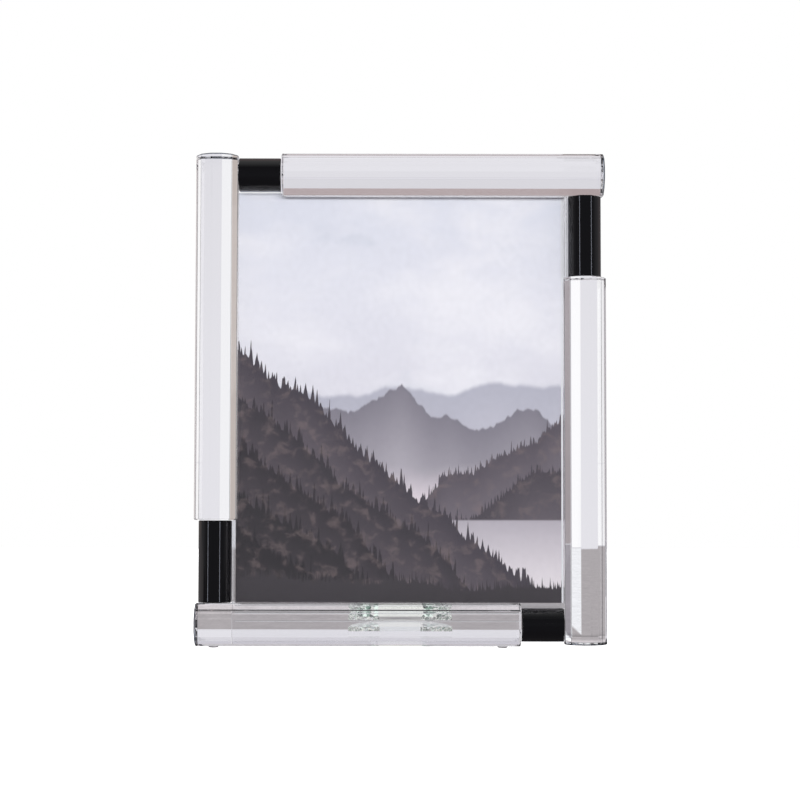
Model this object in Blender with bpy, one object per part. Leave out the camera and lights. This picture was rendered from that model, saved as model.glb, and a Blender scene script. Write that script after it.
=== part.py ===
"""A standing crystal picture frame for one 8 x 10 inch print.

Clear twelve-sided glass bars and black glass blocks are bonded round the opening like a pinwheel.
A clear pocket behind them holds the print, and a half-round glass foot lets the frame lean back.

The frame is drawn upright in its own axes: x to the right, y from front to back, z up, with the
origin at the middle of its bottom front edge. An empty then leans all of it back over the table.
"""

import math

import bmesh
import bpy
from mathutils import Matrix, Vector

MM = 0.001

# The print, which sets the size of the frame, and how far the bars cover each of its edges
PRINT_WIDTH = 203.2 * MM
PRINT_HEIGHT = 254 * MM
PRINT_SIDE_LAP = 1.6 * MM
PRINT_HEAD_LAP = 3.7 * MM
PRINT_FOOT_LAP = 0.3 * MM
LEAN = math.radians(4.0)

# Clear bars, twelve-sided, each stopping short of its neighbour's outer face
BAR_ACROSS_FLATS = 26 * MM
BAR_SIDES = 12
BAR_LONG_ARRIS = 0.3 * MM
BAR_END_ARRIS = 0.6 * MM
FREE_END_STEP = 1.2 * MM

# Black blocks, square with broad chamfers
BLOCK_ACROSS_FLATS = 20 * MM
BLOCK_FACE_WIDTH = 7.2 * MM
UPRIGHT_BLOCK_LENGTH = 49.9 * MM
LEVEL_BLOCK_LENGTH = 25.9 * MM
BLOCK_LONG_ARRIS = 0.4 * MM
BLOCK_END_ARRIS = 0.5 * MM

# Glue lines between glass pieces, and the air round the print
GLUE_LINE = 0.3 * MM
PRINT_AIR = 0.3 * MM

# Pocket behind the bars
PANE_THICKNESS = 3 * MM
PANE_ARRIS = 0.4 * MM
PRINT_THICKNESS = 0.3 * MM
CARD_THICKNESS = 1.0 * MM
REAR_PLATE_THICKNESS = 4 * MM
THUMB_NOTCH_RADIUS = 13 * MM
LEDGE_HEIGHT = 11 * MM
SPACER_ARRIS = 0.2 * MM

# Half-round foot, whose curved side is ground inwards to the table
FOOT_RADIUS = 32 * MM
FOOT_THICKNESS = 10.5 * MM
FOOT_UNDERCUT = 6 * MM
FOOT_UNDERCUT_HEIGHT = 9 * MM
FOOT_POLISHED_EDGE = 0.4 * MM
FOOT_ROUND_STEPS = 36

# Clear bumper pads
PAD_RADIUS = 3.3 * MM
PAD_TAPER = 0.5 * MM
PAD_THICKNESS = 0.5 * MM
PAD_INSET = 11 * MM
PAD_ROUND_STEPS = 32

# The plate's lower edge hangs this far above the table
PLATE_TABLE_GAP = 1.0 * MM


def regular_section(sides, across_flats):
    """Half-planes of a regular section, each an outward angle and a distance from the middle."""
    turn = 2 * math.pi / sides
    return [(i * turn, across_flats / 2) for i in range(sides)]


def chamfered_section(across_flats, face_width):
    """Half-planes of a square whose corners are cut back until each face is face_width wide."""
    half = across_flats / 2
    corner = (half + face_width / 2) / math.sqrt(2)
    return [(i * math.pi / 4, half if i % 2 == 0 else corner) for i in range(8)]


def with_arrises(section, width):
    """Cut every corner of a section back to a narrow flat of this width."""
    cut = []
    for (angle_a, far_a), (angle_b, far_b) in zip(section, section[1:] + section[:1]):
        half_turn = (angle_b - angle_a) % (2 * math.pi) / 2
        corner_far = (far_a + far_b) / (2 * math.cos(half_turn))
        cut.append((angle_a, far_a))
        cut.append((angle_a + half_turn, corner_far - width / 2 * math.tan(half_turn)))
    return cut


def rectangle_section(width, height):
    return [(0, width / 2), (math.pi / 2, height / 2), (math.pi, width / 2), (1.5 * math.pi, height / 2)]


def section_corners(section, inset=0.0):
    """Corners where neighbouring half-planes meet, once each is moved inwards by inset."""
    corners = []
    for (angle_a, far_a), (angle_b, far_b) in zip(section, section[1:] + section[:1]):
        normals = Matrix(((math.cos(angle_a), math.sin(angle_a)), (math.cos(angle_b), math.sin(angle_b))))
        corners.append(normals.inverted() @ Vector((far_a - inset, far_b - inset)))
    return corners


def section_depth_reach(section, depth):
    """How far a section centred on zero reaches sideways at a depth from its middle."""
    reach = float("inf")
    for angle, far in section:
        across, along = math.cos(angle), math.sin(angle)
        if across > 1e-6:
            reach = min(reach, (far - depth * along) / across)
    return reach


def material(name, colour, roughness, transmission=0.0):
    made = bpy.data.materials.new(name)
    made.use_nodes = True
    shader = made.node_tree.nodes["Principled BSDF"]
    shader.inputs["Base Color"].default_value = (*colour, 1.0)
    shader.inputs["Roughness"].default_value = roughness
    shader.inputs["Metallic"].default_value = 0.0
    shader.inputs["Transmission Weight"].default_value = transmission
    return made


def add_object(name, mesh, parent, look):
    made = bpy.data.objects.new(name, mesh)
    bpy.context.collection.objects.link(made)
    made.parent = parent
    mesh.materials.append(look)
    return made


def add_empty(name, location, parent=None):
    made = bpy.data.objects.new(name, None)
    bpy.context.collection.objects.link(made)
    made.location = location
    made.parent = parent
    return made


def mesh_from(name, shape):
    bmesh.ops.recalc_face_normals(shape, faces=shape.faces)
    mesh = bpy.data.meshes.new(name)
    shape.to_mesh(mesh)
    shape.free()
    return mesh


def lofted_mesh(name, outlines):
    """A closed skin over outlines that have equally many points, the first and last of them capped."""
    shape = bmesh.new()
    rings = [[shape.verts.new(point) for point in outline] for outline in outlines]
    for low, high in zip(rings, rings[1:]):
        for i in range(len(low)):
            j = (i + 1) % len(low)
            shape.faces.new((low[i], low[j], high[j], high[i]))
    shape.faces.new(list(reversed(rings[0])))
    shape.faces.new(rings[-1])
    return mesh_from(name, shape)


def prism_mesh(name, section, length, arris):
    """A prism along +Z from zero, with a narrow polished arris round both of its ends."""
    levels = ((0, 0), (length, 0))
    if arris:
        levels = ((0, arris), (arris, 0), (length - arris, 0), (length, arris))
    outlines = [[(*corner, height) for corner in section_corners(section, inset)] for height, inset in levels]
    return lofted_mesh(name, outlines)


ALONG_X = Matrix(((0, 0, 1), (0, 1, 0), (-1, 0, 0))).to_4x4()
ALONG_Z = Matrix.Identity(4)
FRONT_TO_BACK = Matrix(((1, 0, 0), (0, 0, 1), (0, -1, 0))).to_4x4()


def add_prism(name, section, length, arris, start, turn, parent, look):
    """Place a prism so that its first end is centred on start and it runs along the turned axis."""
    mesh = prism_mesh(name, section, length, arris)
    mesh.transform(turn)
    made = add_object(name, mesh, parent, look)
    made.location = start
    return made


def add_sheet(name, x_span, z_span, y_span, arris, parent, look):
    """A flat rectangular piece that faces the front, from its spans in the frame's axes."""
    width, height, thickness = (span[1] - span[0] for span in (x_span, z_span, y_span))
    start = (sum(x_span) / 2, y_span[0], sum(z_span) / 2)
    section = rectangle_section(width, height)
    return add_prism(name, section, thickness, arris, start, FRONT_TO_BACK, parent, look)


def add_bevel(made, width):
    bevel = made.modifiers.new("polished_edge", "BEVEL")
    bevel.width = width
    bevel.segments = 1
    bevel.limit_method = "ANGLE"
    bevel.angle_limit = math.radians(50)


def cut_away(shape, point, normal):
    """Cut a closed shape with a plane, drop what lies on the normal's side, and close the cut."""
    geometry = shape.verts[:] + shape.edges[:] + shape.faces[:]
    cut = bmesh.ops.bisect_plane(shape, geom=geometry, plane_co=point, plane_no=normal, clear_outer=True)
    rim = [item for item in cut["geom_cut"] if isinstance(item, bmesh.types.BMEdge)]
    bmesh.ops.contextual_create(shape, geom=rim)


# Derived places, in the frame's own axes
bar_section = with_arrises(regular_section(BAR_SIDES, BAR_ACROSS_FLATS), BAR_LONG_ARRIS)
block_section = with_arrises(chamfered_section(BLOCK_ACROSS_FLATS, BLOCK_FACE_WIDTH), BLOCK_LONG_ARRIS)

bar_middle = BAR_ACROSS_FLATS / 2
opening_half_width = PRINT_WIDTH / 2 - PRINT_SIDE_LAP
opening_bottom = BAR_ACROSS_FLATS
opening_top = opening_bottom + PRINT_HEIGHT - PRINT_FOOT_LAP - PRINT_HEAD_LAP
half_width = opening_half_width + BAR_ACROSS_FLATS
frame_height = opening_top + BAR_ACROSS_FLATS
side_middle = half_width - bar_middle
top_middle = frame_height - bar_middle

upright_block_room = UPRIGHT_BLOCK_LENGTH + 2 * GLUE_LINE
level_block_room = LEVEL_BLOCK_LENGTH + 2 * GLUE_LINE
upright_bar_length = frame_height - opening_bottom - upright_block_room - FREE_END_STEP
level_bar_length = half_width + opening_half_width - level_block_room - FREE_END_STEP
bottom_bar_start = FREE_END_STEP - half_width
bottom_bar_end = bottom_bar_start + level_bar_length

pane_front = BAR_ACROSS_FLATS - PANE_THICKNESS
pane_back = BAR_ACROSS_FLATS
bar_reach_at_pane = section_depth_reach(bar_section, pane_front - bar_middle)
rear_facet_gap = GLUE_LINE / math.sin(math.pi / 6)
pane_lap = bar_middle - bar_reach_at_pane - rear_facet_gap
pane_half_width = opening_half_width + pane_lap
pane_bottom = opening_bottom - pane_lap
pane_top = opening_top + pane_lap

print_front = pane_back + PRINT_AIR
print_back = print_front + PRINT_THICKNESS
card_front = print_back + PRINT_AIR
card_back = card_front + CARD_THICKNESS
rear_plate_front = card_back + GLUE_LINE
rear_plate_back = rear_plate_front + REAR_PLATE_THICKNESS

print_bottom = opening_bottom - PRINT_FOOT_LAP
ledge_top = print_bottom - PRINT_AIR
ledge_foot = ledge_top - LEDGE_HEIGHT

# Where the leaning frame stands in the row's axes
pad_seat_depth = bar_middle
frame_lift = (PAD_THICKNESS + GLUE_LINE) / math.cos(LEAN) + pad_seat_depth * math.sin(LEAN)
plate_rear_depth = rear_plate_back + GLUE_LINE
foot_flat_at_table = plate_rear_depth / math.cos(LEAN) - frame_lift * math.tan(LEAN)
frame_front = -(foot_flat_at_table + FOOT_RADIUS) / 2
plate_bottom = (PLATE_TABLE_GAP - frame_lift + rear_plate_back * math.sin(LEAN)) / math.cos(LEAN)


def table_point(depth, height):
    """World Y and Z of a point of the frame's middle plane, from its depth and height."""
    y = frame_front + depth * math.cos(LEAN) + height * math.sin(LEAN)
    z = frame_lift + height * math.cos(LEAN) - depth * math.sin(LEAN)
    return y, z


def build_bars(frame, glass):
    left_x, right_x = -side_middle, side_middle
    low_z, high_z = bar_middle, top_middle
    upright_start = opening_bottom + upright_block_room
    level_start = level_block_room - opening_half_width
    bars = (
        ("left_bar", upright_bar_length, (left_x, bar_middle, upright_start), ALONG_Z),
        ("right_bar", upright_bar_length, (right_x, bar_middle, FREE_END_STEP), ALONG_Z),
        ("top_bar", level_bar_length, (level_start, bar_middle, high_z), ALONG_X),
        ("bottom_bar", level_bar_length, (bottom_bar_start, bar_middle, low_z), ALONG_X),
    )
    for name, length, start, turn in bars:
        add_prism(name, bar_section, length, BAR_END_ARRIS, start, turn, frame, glass)


def build_blocks(frame, black_glass):
    right_start = opening_top - GLUE_LINE - UPRIGHT_BLOCK_LENGTH
    bottom_start = opening_half_width - GLUE_LINE - LEVEL_BLOCK_LENGTH
    blocks = (
        ("left_block", UPRIGHT_BLOCK_LENGTH, (-side_middle, bar_middle, opening_bottom + GLUE_LINE), ALONG_Z),
        ("right_block", UPRIGHT_BLOCK_LENGTH, (side_middle, bar_middle, right_start), ALONG_Z),
        ("top_block", LEVEL_BLOCK_LENGTH, (GLUE_LINE - opening_half_width, bar_middle, top_middle), ALONG_X),
        ("bottom_block", LEVEL_BLOCK_LENGTH, (bottom_start, bar_middle, bar_middle), ALONG_X),
    )
    for name, length, start, turn in blocks:
        add_prism(name, block_section, length, BLOCK_END_ARRIS, start, turn, frame, black_glass)


def rear_plate_mesh():
    """The plate's outline, with a half-round thumb notch in its top edge, drawn front to back."""
    steps = 20
    outline = [(-pane_half_width, plate_bottom), (pane_half_width, plate_bottom), (pane_half_width, pane_top)]
    for i in range(steps + 1):
        turn = -math.pi * i / steps
        outline.append((THUMB_NOTCH_RADIUS * math.cos(turn), pane_top + THUMB_NOTCH_RADIUS * math.sin(turn)))
    outline.append((-pane_half_width, pane_top))
    shape = bmesh.new()
    front = shape.faces.new([shape.verts.new((x, rear_plate_front, z)) for x, z in outline])
    back = bmesh.ops.extrude_face_region(shape, geom=[front])["geom"]
    moved = [item for item in back if isinstance(item, bmesh.types.BMVert)]
    bmesh.ops.translate(shape, verts=moved, vec=(0, REAR_PLATE_THICKNESS, 0))
    return mesh_from("rear_plate", shape)


def build_pocket(frame, glass, clear_strip):
    full_width = (-pane_half_width, pane_half_width)
    add_sheet("front_pane", full_width, (pane_bottom, pane_top), (pane_front, pane_back), PANE_ARRIS,
              frame, glass)
    add_bevel(add_object("rear_plate", rear_plate_mesh(), frame, glass), PANE_ARRIS)

    strip_span = (pane_back + GLUE_LINE, rear_plate_front - GLUE_LINE)
    print_width = (-PRINT_WIDTH / 2, PRINT_WIDTH / 2)
    add_sheet("ledge", print_width, (ledge_foot, ledge_top), strip_span, SPACER_ARRIS, frame, clear_strip)
    inner = PRINT_WIDTH / 2 + PRINT_AIR
    strip_height = (ledge_top + GLUE_LINE, pane_top)
    sides = (("left_spacer", (-pane_half_width, -inner)), ("right_spacer", (inner, pane_half_width)))
    for name, span in sides:
        add_sheet(name, span, strip_height, strip_span, SPACER_ARRIS, frame, clear_strip)


def build_insert(frame, paper, card):
    """The print and its card, which lift out of the pocket along the frame's own z axis."""
    slide = add_empty("insert_slide", (0, print_front, print_bottom), frame)
    width = (-PRINT_WIDTH / 2, PRINT_WIDTH / 2)
    layers = (("print", print_front, print_back, paper), ("backing_card", card_front, card_back, card))
    for name, near, far, look in layers:
        add_sheet(name, width, (0, PRINT_HEIGHT), (near - print_front, far - print_front), 0.0, slide, look)


def foot_ring(height, inset):
    """Outline of the half disc at a height. The flat side leans back with the plate it meets."""
    radius = FOOT_RADIUS - inset
    flat = height * math.tan(LEAN)
    first = math.asin(flat / radius)
    sweep = math.pi - 2 * first
    turns = [first + sweep * i / FOOT_ROUND_STEPS for i in range(FOOT_ROUND_STEPS + 1)]
    return [(radius * math.cos(turn), radius * math.sin(turn), height) for turn in turns]


def build_foot(glass):
    """A half disc on the table, its flat side ground to the lean of the plate it is bonded to."""
    rim_top = FOOT_THICKNESS - FOOT_POLISHED_EDGE
    levels = (
        (0, FOOT_UNDERCUT),
        (FOOT_UNDERCUT_HEIGHT, 0),
        (rim_top, 0),
        (FOOT_THICKNESS, FOOT_POLISHED_EDGE),
    )
    mesh = lofted_mesh("foot", [foot_ring(height, inset) for height, inset in levels])
    add_object("foot", mesh, None, glass).location = (0, frame_front + foot_flat_at_table, 0)


def build_pads(pad_look):
    """Two soft pads, level below and ground to the lean above, under the ends of the bottom bar."""
    seat_y, seat_z = table_point(pad_seat_depth, 0)
    top_z = seat_z - GLUE_LINE / math.cos(LEAN)
    taller = 2 * PAD_THICKNESS
    for name, x in (("left_pad", bottom_bar_start + PAD_INSET), ("right_pad", bottom_bar_end - PAD_INSET)):
        shape = bmesh.new()
        place = Matrix.Translation((x, seat_y, PAD_THICKNESS))
        bmesh.ops.create_cone(shape, cap_ends=True, segments=PAD_ROUND_STEPS, radius1=PAD_RADIUS - PAD_TAPER,
                              radius2=PAD_RADIUS, depth=taller, matrix=place)
        cut_away(shape, (x, seat_y, top_z), (0, math.sin(LEAN), math.cos(LEAN)))
        add_object(name, mesh_from(name, shape), None, pad_look)


def build():
    for old in list(bpy.data.objects):
        bpy.data.objects.remove(old, do_unlink=True)

    glass = material("polished_crystal", (0.93, 0.94, 0.95), 0.02, transmission=1.0)
    black_glass = material("black_glass", (0.012, 0.013, 0.014), 0.05)
    clear_strip = material("clear_strip", (0.90, 0.92, 0.93), 0.08, transmission=1.0)
    paper = material("photo_paper", (0.55, 0.56, 0.60), 0.35)
    card = material("white_card", (0.85, 0.85, 0.83), 0.85)
    pad_look = material("soft_clear_pvc", (0.88, 0.89, 0.90), 0.25, transmission=0.8)

    frame = add_empty("leaning_frame", (0, frame_front, frame_lift))
    frame.rotation_euler = (-LEAN, 0, 0)
    build_bars(frame, glass)
    build_blocks(frame, black_glass)
    build_pocket(frame, glass, clear_strip)
    build_insert(frame, paper, card)
    build_foot(glass)
    build_pads(pad_look)


build()
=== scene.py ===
# %% [markdown]
# # A crystal picture frame
# This lesson dresses a standing glass frame. Twelve-sided clear bars and black glass blocks are
# bonded round an 8 x 10 inch print, which sits in a clear pocket and leans back on a glass foot.
# The solids are already modelled at their real size, so the work here is finish: clear glass that
# bends light, black glass that mirrors it, a paper print, a card, a table and the light. Blender
# works in metres, so a length in millimetres is written as a number times MM.
# %% Load the frame
import math

import bpy
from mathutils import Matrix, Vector


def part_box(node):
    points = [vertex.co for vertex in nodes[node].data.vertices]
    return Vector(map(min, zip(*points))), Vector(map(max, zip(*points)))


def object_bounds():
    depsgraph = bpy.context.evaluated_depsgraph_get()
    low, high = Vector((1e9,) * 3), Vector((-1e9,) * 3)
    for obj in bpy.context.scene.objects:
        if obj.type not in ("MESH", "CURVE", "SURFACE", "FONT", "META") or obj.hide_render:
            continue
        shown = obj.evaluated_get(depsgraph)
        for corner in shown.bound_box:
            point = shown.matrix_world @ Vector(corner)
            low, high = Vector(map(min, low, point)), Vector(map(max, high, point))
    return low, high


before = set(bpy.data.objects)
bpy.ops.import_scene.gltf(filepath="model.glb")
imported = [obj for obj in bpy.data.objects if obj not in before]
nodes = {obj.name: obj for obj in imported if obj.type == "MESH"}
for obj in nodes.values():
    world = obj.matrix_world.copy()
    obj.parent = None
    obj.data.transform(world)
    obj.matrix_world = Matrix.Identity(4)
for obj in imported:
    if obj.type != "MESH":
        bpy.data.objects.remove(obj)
cad_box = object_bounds()
MM = 0.001
print("pieces:", len(nodes))

# %% [markdown]
# Colours are written as hex values, as a designer would note them, and Blender's shaders want
# linear numbers. One function turns the first into the second. A second small function adds a
# node, sets its settings and links its inputs, so that each material below reads as a list. Two
# more start a material and give it to pieces.
# %% Colour and node helpers
def colour(code):
    """Linear red, green, blue and alpha of an sRGB hex code such as c8d0dc."""
    parts = [int(code[i:i + 2], 16) / 255 for i in (0, 2, 4)]
    linear = [part / 12.92 if part <= 0.04045 else ((part + 0.055) / 1.055) ** 2.4 for part in parts]
    return (*linear, 1.0)


def add_node(tree, kind, settings=None, inputs=None):
    """Add a node, set its own settings, then set each input to a value or link a socket to it."""
    made = tree.nodes.new(kind)
    for name, value in (settings or {}).items():
        setattr(made, name, value)
    for name, value in (inputs or {}).items():
        if isinstance(value, bpy.types.NodeSocket):
            tree.links.new(value, made.inputs[name])
        else:
            made.inputs[name].default_value = value
    return made


def new_material(name):
    """A new material, its node tree and its Principled shader."""
    made = bpy.data.materials.new(name)
    made.use_nodes = True
    return made, made.node_tree, made.node_tree.nodes["Principled BSDF"]


def dress(look, *names):
    """Give pieces one material, in place of the plain one that they came with."""
    for name in names:
        nodes[name].data.materials.clear()
        nodes[name].data.materials.append(look)
    print(look.name, "on", ", ".join(names))


print("hex 808080 is linear", round(colour("808080")[0], 3))

# %% [markdown]
# ## Clear crystal
# The bars are optical glass, cast as rod, ground to twelve flat sides and polished on felt. It
# could be faked with a clear mix shader, but a Principled shader with full transmission bends
# light as real glass does, and the facets only come alive when it does. Polishing leaves the flats
# very slightly wavy, so a faint bump with 14 mm swells breaks up what shows through them.
# %% Polished optical glass
GLASS_IOR = 1.52
CLEAR_TONE = "fdfdfe"
POLISH_SWELL = 14 * MM
POLISH_DEPTH = 0.002 * MM


def polished_optical_glass(name="polished_optical_glass"):
    """Felt-polished crown glass: clear, mirror smooth, with a barely seen wave in each flat."""
    look, tree, shader = new_material(name)
    shader.inputs["Base Color"].default_value = colour(CLEAR_TONE)
    shader.inputs["Roughness"].default_value = 0.0
    shader.inputs["IOR"].default_value = GLASS_IOR
    shader.inputs["Transmission Weight"].default_value = 1.0
    place = add_node(tree, "ShaderNodeTexCoord")
    swell = add_node(tree, "ShaderNodeTexNoise", inputs={
        "Vector": place.outputs["Object"], "Scale": 1 / POLISH_SWELL, "Detail": 1.0})
    bump = add_node(tree, "ShaderNodeBump", inputs={
        "Strength": 1.0, "Distance": POLISH_DEPTH, "Height": swell.outputs["Fac"]})
    tree.links.new(bump.outputs["Normal"], shader.inputs["Normal"])
    return look


dress(polished_optical_glass(), "front_pane", "rear_plate", "foot")

# %% [markdown]
# Chips, skies and walls change colour along one number, such as height. One more function blends
# such tones from a list of places and hex colours, so that it can be read and changed by hand.
# %% Tones along a value
def tones_along(tree, value, stops):
    """Tones along a value that runs from 0 to the last place in a list of places and hex colours."""
    reach = stops[-1][0]
    share = add_node(tree, "ShaderNodeMath", {"operation": "DIVIDE"}, {0: value, 1: reach})
    ramp = add_node(tree, "ShaderNodeValToRGB", inputs={"Fac": share.outputs[0]})
    ramp.color_ramp.elements[0].position = stops[0][0] / reach
    ramp.color_ramp.elements[0].color = colour(stops[0][1])
    ramp.color_ramp.elements[1].position = stops[-1][0] / reach
    ramp.color_ramp.elements[1].color = colour(stops[-1][1])
    for place, code in stops[1:-1]:
        ramp.color_ramp.elements.new(place / reach).color = colour(code)
    return ramp.outputs["Color"]


# %% [markdown]
# Toward both ends the round side and the underside of the foot are chipped to shape and left with
# shell-like hollows, which break the table up into sparks. Cells of Voronoi noise, each a steep bowl,
# stand for the chips. A chip flashes pale or dark with the part of the room that it catches. This
# plain room has few parts, so each cell also gets a painted sparkle of its own: a tone from a white
# highlight to a deep bottle green shade. The top, the flat face and the middle of the foot keep the
# plain polish, so the chips and their painted sparkle fade out toward the middle. The faces are
# picked by how far they look up and forward.
# %% Chipped round side of the foot
CHIP_WIDTH = 3.4 * MM
CHIP_DEPTH = 3.4 * MM
CLEAR_MIDDLE = 13.6 * MM
CHIP_FADE = 1 * MM
LOOKS_UP = 0.72
LOOKS_FORWARD = -0.5
# Painted sparkle: each chip's tone, from a white highlight to a dark green shade.
CHIP_SPARKLE_TONES = ((0.0, "f4fbf7"), (0.42, "eef9f2"), (0.52, "8ca498"), (0.78, "5e756a"), (1.0, "3f534a"))


def chipped_glass_painted_sparkle():
    """Flaked crystal edge: steep hollows a few millimetres wide, each with a painted sparkle, faintly green.
    """
    look, tree, shader = new_material("chipped_optical_glass_painted_sparkle")
    shader.inputs["Roughness"].default_value = 0.02
    shader.inputs["IOR"].default_value = GLASS_IOR
    shader.inputs["Transmission Weight"].default_value = 1.0
    place = add_node(tree, "ShaderNodeTexCoord")
    chips = add_node(tree, "ShaderNodeTexVoronoi", inputs={
        "Vector": place.outputs["Object"], "Scale": 1 / CHIP_WIDTH})
    apart = add_node(tree, "ShaderNodeSeparateXYZ", inputs={"Vector": place.outputs["Object"]})
    sideways = add_node(tree, "ShaderNodeMath", {"operation": "ABSOLUTE"}, {0: apart.outputs["X"]})
    at_ends = add_node(tree, "ShaderNodeMapRange", {"interpolation_type": "SMOOTHSTEP"}, {
        "Value": sideways.outputs[0], "From Min": CLEAR_MIDDLE - CHIP_FADE,
        "From Max": CLEAR_MIDDLE + CHIP_FADE})
    hollows = add_node(tree, "ShaderNodeMath", {"operation": "MULTIPLY"}, {
        0: chips.outputs["Distance"], 1: at_ends.outputs["Result"]})
    bump = add_node(tree, "ShaderNodeBump", inputs={
        "Strength": 1.0, "Distance": CHIP_DEPTH, "Height": hollows.outputs[0]})
    share = add_node(tree, "ShaderNodeSeparateColor", inputs={"Color": chips.outputs["Color"]})
    flash = add_node(tree, "ShaderNodeMath", {"operation": "MULTIPLY"}, {
        0: share.outputs["Red"], 1: at_ends.outputs["Result"]})
    tree.links.new(tones_along(tree, flash.outputs[0], CHIP_SPARKLE_TONES), shader.inputs["Base Color"])
    tree.links.new(bump.outputs["Normal"], shader.inputs["Normal"])
    return look


def chip_round_side(mesh, look):
    """Give the faces that look down, to the sides and back the chipped glass, not the flat one."""
    mesh.materials.append(look)
    chipped = 0
    for face in mesh.polygons:
        if face.normal.z < LOOKS_UP and face.normal.y > LOOKS_FORWARD:
            face.material_index = 1
            chipped += 1
    return chipped


print("chipped faces:", chip_round_side(nodes["foot"].data, chipped_glass_painted_sparkle()))

# %% [markdown]
# A lamp's light can't be traced straight through bent glass, so a clear piece would throw a black
# shadow on the print behind it. Real clear glass throws almost none, so these pieces throw none.
# The top bar keeps its shadow: its flats do send the light away, and that draws a thin dark line on
# the print just below it.
# %% Clear pieces let the lamps through
SHADOWLESS = ("left_bar", "right_bar", "bottom_bar", "front_pane", "rear_plate", "foot", "ledge",
              "left_spacer", "right_spacer", "left_pad", "right_pad")

for name in SHADOWLESS:
    nodes[name].visible_shadow = False
print("pieces without a shadow:", len(SHADOWLESS))

# %% [markdown]
# Both end faces of a bar are polished, but at the end that stands free the front half of the narrow
# bevel was only ground, which leaves it dull. That bevel and the tip of each front flat beside it are
# painted dark grey, a painted shade that draws a thin dark arc at the tip. The bevel's faces are
# found by how far along the bar they lie: past the start of the bevel, and short of the end face.
# They get a second material. The flats reach the whole length of the bar, so their tip's painted
# shade is drawn by the material: its colour turns dark past a given distance along the bar, on what
# faces the front. Blender turns a face's normal toward the ray that meets it. So from the front the
# tip of the back flats, seen through the bar, is dark as well, and from behind neither is. No corner
# moves.
# %% Ground tips with painted shade
LEAN = math.radians(4.0)
UP_THE_FRAME = Vector((0, math.sin(LEAN), math.cos(LEAN)))
TO_THE_RIGHT = Vector((1, 0, 0))
BEVEL_DEPTH = 0.8 * MM
END_FACE_DEPTH = 0.1 * MM
TIP_DEPTH = 0.8 * MM
FACES_FRONT = -0.2
# Painted shade: the dark tone of the tip of a bar's front flats.
TIP_SHADE_TONE = "626c78"


def fine_ground_glass_painted_shade():
    """Glass ground with fine grit and not polished: dull, and painted dark blue-grey as shade."""
    look, _, shader = new_material("fine_ground_glass_painted_shade")
    # Painted shade: the dark blue-grey of the bevel at a bar's free end.
    shader.inputs["Base Color"].default_value = colour("3c4350")
    shader.inputs["Roughness"].default_value = 0.5
    shader.inputs["IOR"].default_value = GLASS_IOR
    return look


def glass_with_shaded_tip(name, along, tip_start):
    """Polished glass with a painted shade: dark beyond a distance along the bar, on what faces the front."""
    look = polished_optical_glass("polished_glass_with_tip_shade_" + name)
    tree = look.node_tree
    place = add_node(tree, "ShaderNodeTexCoord")
    distance = add_node(tree, "ShaderNodeVectorMath", {"operation": "DOT_PRODUCT"}, {
        0: place.outputs["Object"], 1: along})
    at_tip = add_node(tree, "ShaderNodeMath", {"operation": "GREATER_THAN"}, {
        0: distance.outputs["Value"], 1: tip_start})
    surface = add_node(tree, "ShaderNodeNewGeometry")
    facing = add_node(tree, "ShaderNodeSeparateXYZ", inputs={"Vector": surface.outputs["True Normal"]})
    in_front = add_node(tree, "ShaderNodeMath", {"operation": "LESS_THAN"}, {
        0: facing.outputs["Y"], 1: FACES_FRONT})
    shaded = add_node(tree, "ShaderNodeMath", {"operation": "MULTIPLY"}, {
        0: at_tip.outputs[0], 1: in_front.outputs[0]})
    tone = add_node(tree, "ShaderNodeMix", {"data_type": "RGBA"}, {
        "Factor": shaded.outputs[0], 6: colour(CLEAR_TONE), 7: colour(TIP_SHADE_TONE)})
    tree.links.new(tone.outputs[2], tree.nodes["Principled BSDF"].inputs["Base Color"])
    return look


def grind_and_shade_tip(name, along, look):
    """Paint shade on a bar's far end, along a direction: its flats' tip and the front of its bevel."""
    mesh = nodes[name].data
    far = max(vertex.co @ along for vertex in mesh.vertices)
    dress(glass_with_shaded_tip(name, along, far - TIP_DEPTH), name)
    mesh.materials.append(look)
    shaded = 0
    for face in mesh.polygons:
        places = [mesh.vertices[corner].co @ along for corner in face.vertices]
        if far - BEVEL_DEPTH < min(places) < far - END_FACE_DEPTH and face.normal.y < 0:
            face.material_index = 1
            shaded += 1
    return shaded


tip_shade_glass = fine_ground_glass_painted_shade()
free_ends = (("left_bar", UP_THE_FRAME), ("right_bar", -UP_THE_FRAME),
             ("top_bar", TO_THE_RIGHT), ("bottom_bar", -TO_THE_RIGHT))
print("ground faces:", [grind_and_shade_tip(name, along, tip_shade_glass) for name, along in free_ends])

# %% [markdown]
# ## Black glass
# The four blocks are opaque black glass, cut and polished like the bars. Black glass has almost no
# colour of its own: all that the eye sees is the room mirrored in it, so the base is nearly black
# and the surface nearly smooth. Wiping leaves faint streaks, which a fine noise in the roughness
# gives. A felt wheel also rounds small flats a little, so that each mirrors a strip of the room that
# goes from light to dark. That crown is a bump: its height falls with the square of the distance
# from the block's middle line, as on a turned rod, but only by a share of what a rod would have.
# %% Polished black glass
STREAK_WIDTH = 5 * MM
BLOCK_RADIUS = 10 * MM
CROWN_SHARE = 0.75
WIPED_ROUGHNESS = (0.03, 0.08)


def middle_of(name):
    """The point halfway between a piece's lowest and highest corners."""
    low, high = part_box(name)
    return (Vector(low) + Vector(high)) / 2


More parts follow.
